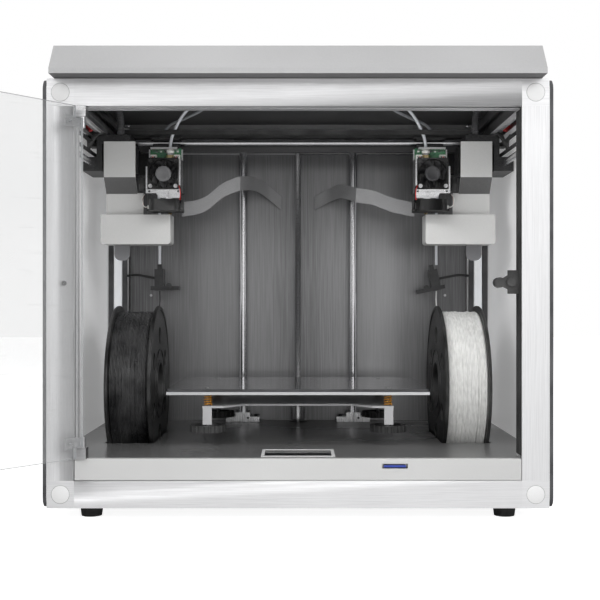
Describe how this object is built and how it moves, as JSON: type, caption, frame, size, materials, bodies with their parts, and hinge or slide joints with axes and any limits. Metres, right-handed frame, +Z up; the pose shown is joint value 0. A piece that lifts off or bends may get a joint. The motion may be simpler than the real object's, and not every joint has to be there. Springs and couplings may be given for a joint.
{
  "type": "fdm printer",
  "caption": "Enclosed desktop fused-filament printer with an aluminium profile frame, clear side-hinged door, hinged lid, two independent extruders, lifting heated bed and two inside spools.",
  "frame": {"origin": "centre of the chassis underside, which is the flat underside of the base pan and the bottom beams; the rubber feet stand 15 mm below it", "axes": "+X to the right seen from the front, +Y to the rear (the door is at -Y), +Z up"},
  "size_m": [0.8082, 0.8002, 0.521],
  "materials": {
    "frame_aluminium": "satin",
    "corner_aluminium": "satin",
    "panel_silver": "satin",
    "sheet_grey": "satin",
    "liner_steel": "brushed",
    "deck_grey": "satin",
    "black_rubber": "matte",
    "screen_glass": "gloss",
    "electronics": "matte",
    "light_white": "matte",
    "black_plastic": "matte",
    "fittings_steel": "satin",
    "rod_steel": "polished",
    "black_metal": "satin",
    "motor_black": "satin",
    "belt_rubber": "matte",
    "pulley_metal": "satin",
    "door_clear": "gloss",
    "lid_grey": "satin",
    "cover_grey": "satin",
    "cable_grey": "matte",
    "extruder_metal": "satin",
    "fan_black": "satin",
    "brass_screw": "satin",
    "bed_metal": "satin",
    "bed_black_glass": "gloss",
    "spring_orange": "satin",
    "spool_black": "satin",
    "filament_black": "satin",
    "filament_white": "satin",
    "switch_red": "gloss",
    "card_blue": "satin"
  },
  "bodies": {
    "cabinet": {"frame_profiles": "frame_aluminium", "corner_blocks": "corner_aluminium", "side_panels": "panel_silver", "rear_panel": "sheet_grey", "back_liner": "liner_steel", "base_pan": "sheet_grey", "deck": "deck_grey", "front_fascia": "deck_grey", "screen": "screen_glass", "feet": "black_rubber", "electronics": "electronics", "light_strips": "light_white", "filament_sensors": "black_plastic", "cabinet_fittings": "fittings_steel", "guide_rods": "rod_steel", "rod_clamps": "black_metal", "axis_motors": "motor_black", "y_belts": "belt_rubber"},
    "y_drive": {"y_drive_pulleys": "pulley_metal"},
    "y_idler": {"y_idler_pulleys": "pulley_metal"},
    "door": {"front_door": "door_clear", "door_hinge_leaves": "fittings_steel"},
    "lid": {"lid_shell": "lid_grey"},
    "gantry": {"gantry_frame": "black_metal", "x_rods": "rod_steel", "x_motors": "motor_black", "x_belts": "belt_rubber", "gantry_covers": "cover_grey", "tubes_and_cables": "cable_grey"},
    "left_head": {"left_carriage": "black_metal", "left_extruder": "extruder_metal", "left_cooling": "fan_black"},
    "left_fan": {"left_fan_rotor": "fan_black"},
    "left_blower": {"left_blower_rotor": "fan_black"},
    "left_gear": {"left_drive_gear": "brass_screw"},
    "left_x_drive": {"left_x_pulley": "pulley_metal"},
    "left_x_turn": {"left_x_idler": "pulley_metal"},
    "left_reel": {"left_spool": "spool_black", "left_filament": "filament_black"},
    "right_head": {"right_carriage": "black_metal", "right_extruder": "extruder_metal", "right_cooling": "fan_black"},
    "right_fan": {"right_fan_rotor": "fan_black"},
    "right_blower": {"right_blower_rotor": "fan_black"},
    "right_gear": {"right_drive_gear": "brass_screw"},
    "right_x_drive": {"right_x_pulley": "pulley_metal"},
    "right_x_turn": {"right_x_idler": "pulley_metal"},
    "right_reel": {"right_spool": "spool_black", "right_filament": "filament_white"},
    "bed": {"bed_carriage": "sheet_grey", "heated_bed": "bed_metal", "bed_glass": "bed_black_glass", "bed_springs": "spring_orange"},
    "screw": {"z_screw": "brass_screw"},
    "knob_front_left_body": {"knob_front_left": "black_plastic"},
    "knob_front_right_body": {"knob_front_right": "black_plastic"},
    "knob_rear_left_body": {"knob_rear_left": "black_plastic"},
    "knob_rear_right_body": {"knob_rear_right": "black_plastic"},
    "rocker": {"power_switch": "switch_red"},
    "card": {"sd_card": "card_blue"}
  },
  "joints": [
    {"name": "front_door", "type": "hinge", "parent": "cabinet", "child": "door", "pos_m": [-0.235, -0.206, 0.247], "axis": [0, 0, 1], "range_deg": [-32, 128]},
    {"name": "lid", "type": "hinge", "parent": "cabinet", "child": "lid", "pos_m": [0, 0.2105, 0.471], "axis": [-1, 0, 0], "range_deg": [0, 75]},
    {"name": "gantry_slide", "type": "slide", "parent": "cabinet", "child": "gantry", "axis": [0, 1, 0], "range_m": [-0.103, 0.08], "deforming": ["tubes_and_cables"]},
    {"name": "left_carriage_slide", "type": "slide", "parent": "gantry", "child": "left_head", "axis": [1, 0, 0], "range_m": [0, 0.144]},
    {"name": "left_fan_spin", "type": "hinge", "parent": "left_head", "child": "left_fan", "pos_m": [-0.171, -0.012, 0.3886], "axis": [0, 1, 0], "continuous": true},
    {"name": "left_blower_spin", "type": "hinge", "parent": "left_head", "child": "left_blower", "pos_m": [-0.168, -0.023, 0.345], "axis": [0, 0, 1], "continuous": true},
    {"name": "left_gear_spin", "type": "hinge", "parent": "left_head", "child": "left_gear", "pos_m": [-0.171, 0.01, 0.3886], "axis": [0, 1, 0], "continuous": true},
    {"name": "left_spool_turn", "type": "hinge", "parent": "cabinet", "child": "left_reel", "pos_m": [-0.205, 0.006, 0.1206], "axis": [1, 0, 0], "continuous": true},
    {"name": "right_carriage_slide", "type": "slide", "parent": "gantry", "child": "right_head", "axis": [-1, 0, 0], "range_m": [0, 0.144]},
    {"name": "right_fan_spin", "type": "hinge", "parent": "right_head", "child": "right_fan", "pos_m": [0.171, -0.012, 0.3886], "axis": [0, 1, 0], "continuous": true},
    {"name": "right_blower_spin", "type": "hinge", "parent": "right_head", "child": "right_blower", "pos_m": [0.168, -0.023, 0.345], "axis": [0, 0, 1], "continuous": true},
    {"name": "right_gear_spin", "type": "hinge", "parent": "right_head", "child": "right_gear", "pos_m": [0.171, 0.01, 0.3886], "axis": [0, 1, 0], "continuous": true},
    {"name": "right_spool_turn", "type": "hinge", "parent": "cabinet", "child": "right_reel", "pos_m": [0.205, 0.006, 0.1206], "axis": [1, 0, 0], "continuous": true},
    {"name": "left_x_drive_turn", "type": "hinge", "parent": "gantry", "child": "left_x_drive", "pos_m": [-0.226, 0.005, 0.438], "axis": [0, 0, 1], "range_deg": [-1400, 1400]},
    {"name": "left_x_idler_turn", "type": "hinge", "parent": "gantry", "child": "left_x_turn", "pos_m": [-0.226, 0.036, 0.438], "axis": [0, 0, 1], "range_deg": [-1400, 1400]},
    {"name": "right_x_drive_turn", "type": "hinge", "parent": "gantry", "child": "right_x_drive", "pos_m": [0.226, 0.036, 0.438], "axis": [0, 0, 1], "range_deg": [-1400, 1400]},
    {"name": "right_x_idler_turn", "type": "hinge", "parent": "gantry", "child": "right_x_turn", "pos_m": [0.226, 0.005, 0.438], "axis": [0, 0, 1], "range_deg": [-1400, 1400]},
    {"name": "y_drive_turn", "type": "hinge", "parent": "cabinet", "child": "y_drive", "pos_m": [0, 0.157, 0.422], "axis": [1, 0, 0], "range_deg": [-1000, 1000]},
    {"name": "y_idler_turn", "type": "hinge", "parent": "cabinet", "child": "y_idler", "pos_m": [0, -0.16, 0.422], "axis": [1, 0, 0], "range_deg": [-1000, 1000]},
    {"name": "bed_slide", "type": "slide", "parent": "cabinet", "child": "bed", "axis": [0, 0, 1], "range_m": [-0.012, 0.215]},
    {"name": "z_screw_turn", "type": "hinge", "parent": "cabinet", "child": "screw", "pos_m": [0, 0.167, 0.25], "axis": [0, 0, 1], "range_deg": [-9721, 541]},
    {"name": "knob_front_left_turn", "type": "hinge", "parent": "bed", "child": "knob_front_left_body", "pos_m": [-0.109, -0.079, 0.073], "axis": [0, 0, 1], "range_deg": [-540, 540]},
    {"name": "knob_front_right_turn", "type": "hinge", "parent": "bed", "child": "knob_front_right_body", "pos_m": [0.109, -0.079, 0.073], "axis": [0, 0, 1], "range_deg": [-540, 540]},
    {"name": "knob_rear_left_turn", "type": "hinge", "parent": "bed", "child": "knob_rear_left_body", "pos_m": [-0.109, 0.089, 0.073], "axis": [0, 0, 1], "range_deg": [-540, 540]},
    {"name": "knob_rear_right_turn", "type": "hinge", "parent": "bed", "child": "knob_rear_right_body", "pos_m": [0.109, 0.089, 0.073], "axis": [0, 0, 1], "range_deg": [-540, 540]},
    {"name": "power_rocker", "type": "hinge", "parent": "cabinet", "child": "rocker", "pos_m": [-0.112, 0.2046, 0.041], "axis": [1, 0, 0], "range_deg": [-10, 10]},
    {"name": "sd_card_slide", "type": "slide", "parent": "cabinet", "child": "card", "axis": [0, -1, 0], "range_m": [0, 0.03]}
  ],
  "couplings": [
    {"joint": "z_screw_turn", "follows": "bed_slide", "rad_per_m": -785.4},
    {"joint": "left_x_drive_turn", "follows": "left_carriage_slide", "rad_per_m": -157.08},
    {"joint": "right_x_idler_turn", "follows": "left_carriage_slide", "rad_per_m": -157.08},
    {"joint": "right_x_drive_turn", "follows": "right_carriage_slide", "rad_per_m": -157.08},
    {"joint": "left_x_idler_turn", "follows": "right_carriage_slide", "rad_per_m": -157.08},
    {"joint": "y_drive_turn", "follows": "gantry_slide", "rad_per_m": -157.08},
    {"joint": "y_idler_turn", "follows": "gantry_slide", "rad_per_m": -157.08},
    {"joint": "left_gear_spin", "follows": "left_spool_turn", "ratio": 15.64},
    {"joint": "right_gear_spin", "follows": "right_spool_turn", "ratio": -15.64}
  ]
}
